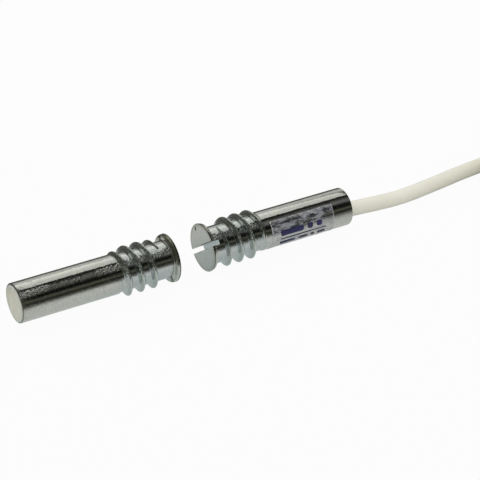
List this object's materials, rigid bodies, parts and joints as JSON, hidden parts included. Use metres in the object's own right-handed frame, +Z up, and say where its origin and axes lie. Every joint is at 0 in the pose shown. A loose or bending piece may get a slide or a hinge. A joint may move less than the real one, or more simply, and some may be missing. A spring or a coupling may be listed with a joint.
{
  "type": "magnetic contact",
  "caption": "Recessed magnetic contact for doors and windows: a threaded metal reed switch unit with its cable tied in a hank, and a matching magnet unit.",
  "frame": {"origin": "on the surface that both flanges rest on, under the middle of the gap between the two flanges", "axes": "+X from the magnet unit to the switch unit along their common axis, +Z up"},
  "size_m": [0.2081, 0.0338, 0.0166],
  "materials": {
    "plated_housing": "nickel plating over brass, lightly ground and speckled",
    "liner": "thin insulating sleeve",
    "glass": "clear greenish glass",
    "blade": "nickel-iron with gold-flashed contacts",
    "solder": "bright tin",
    "core_white": "smooth white insulation",
    "core_brown": "smooth brown insulation",
    "core_green": "smooth green insulation",
    "core_yellow": "smooth yellow insulation",
    "potting": "cast cream resin",
    "film": "clear label film with plain blue-violet bars",
    "cable_jacket": "smooth off-white jacket",
    "tie": "moulded nylon",
    "magnet": "bare sintered bar",
    "plug": "cast cream resin"
  },
  "bodies": {
    "switch_unit": {"switch_housing": "plated_housing", "insulating_liner": "liner", "reed_glass": "glass", "solder_front": "solder", "solder_rear": "solder", "core_return": "core_white", "core_signal": "core_brown", "core_tamper_a": "core_green", "core_tamper_b": "core_yellow", "tamper_splice": "solder", "rear_potting": "potting", "label_film": "film", "cable_lead": "cable_jacket", "cable_hank": "cable_jacket", "cable_tail": "cable_jacket", "hank_tie": "tie", "end_core_white": "core_white", "end_core_brown": "core_brown", "end_core_green": "core_green", "end_core_yellow": "core_yellow", "strand_tips": "solder"},
    "front_blade": {"reed_blade_front": "blade"},
    "rear_blade": {"reed_blade_rear": "blade"},
    "magnet_unit": {"magnet_housing": "plated_housing", "bar_magnet": "magnet", "magnet_plug": "plug"}
  },
  "joints": [
    {"name": "magnet_travel", "type": "slide", "parent": "switch_unit", "child": "magnet_unit", "axis": [-1, 0, 0], "range_m": [-0.006, 0.03]},
    {"name": "front_blade_flex", "type": "hinge", "parent": "switch_unit", "child": "front_blade", "pos_m": [0.011, 0, 0.005], "axis": [0, -1, 0], "range_deg": [0, 0.38], "stiffness_Nm_per_rad": 0.001},
    {"name": "rear_blade_flex", "type": "hinge", "parent": "switch_unit", "child": "rear_blade", "pos_m": [0.0234, 0, 0.005], "axis": [0, -1, 0], "range_deg": [0, 0.38], "stiffness_Nm_per_rad": 0.001}
  ],
  "couplings": [
    {"joint": "rear_blade_flex", "follows": "front_blade_flex", "ratio": 1}
  ]
}
